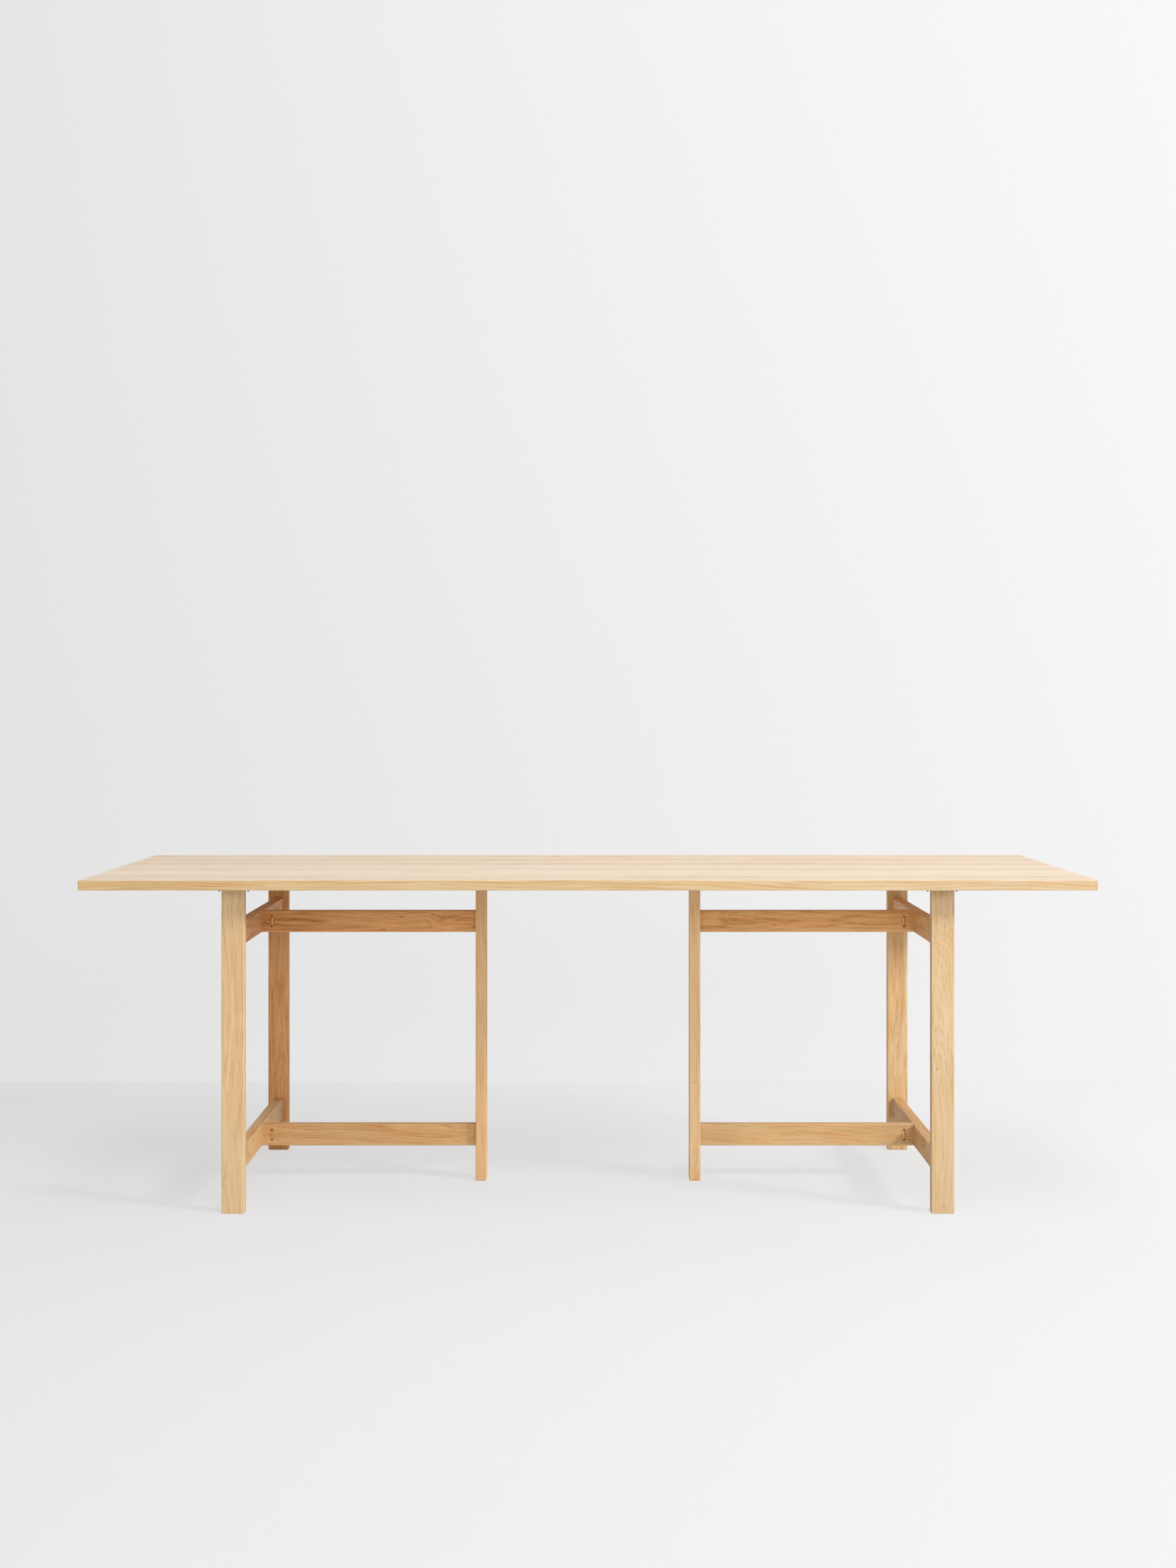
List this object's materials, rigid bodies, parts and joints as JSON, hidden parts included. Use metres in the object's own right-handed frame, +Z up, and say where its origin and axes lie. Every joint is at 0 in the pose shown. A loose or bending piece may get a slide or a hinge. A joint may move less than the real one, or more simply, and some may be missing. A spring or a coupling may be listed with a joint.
{
  "type": "trestle dining table",
  "caption": "Long rectangular oak dining table: a loose plank top rests on T-plan trestles of slim legs and rails, bolted up with brass nuts.",
  "frame": {"origin": "on the floor, under the middle of the table top", "axes": "+X along the table's length, -Y the front as pictured, +Z up"},
  "size_m": [2.2, 0.8, 0.732],
  "materials": {
    "oak": "natural oiled, planed and sanded",
    "beech": "turned and planed, unfinished",
    "brass": "turned, bare",
    "steel": "dark oxide"
  },
  "bodies": {
    "trestles": {"left_front_leg": "oak", "left_rear_leg": "oak", "left_inner_leg": "oak", "left_upper_cross_rail": "oak", "left_lower_cross_rail": "oak", "left_upper_spine_rail": "oak", "left_lower_spine_rail": "oak", "left_cross_rail_tenons": "beech", "left_spine_rail_tenons": "beech", "left_alignment_dowels": "beech", "left_nut_bars": "brass", "left_joint_bolts": "steel", "left_bolt_washers": "steel", "right_front_leg": "oak", "right_rear_leg": "oak", "right_inner_leg": "oak", "right_upper_cross_rail": "oak", "right_lower_cross_rail": "oak", "right_upper_spine_rail": "oak", "right_lower_spine_rail": "oak", "right_cross_rail_tenons": "beech", "right_spine_rail_tenons": "beech", "right_alignment_dowels": "beech", "right_nut_bars": "brass", "right_joint_bolts": "steel", "right_bolt_washers": "steel"},
    "table_top": {"top_board_1": "oak", "top_board_2": "oak", "top_board_3": "oak", "top_board_4": "oak", "top_board_5": "oak", "locating_pins": "steel"}
  },
  "joints": [
    {"name": "top_lift", "type": "slide", "parent": "trestles", "child": "table_top", "axis": [0, 0, 1], "range_m": [0, 0.15]}
  ]
}
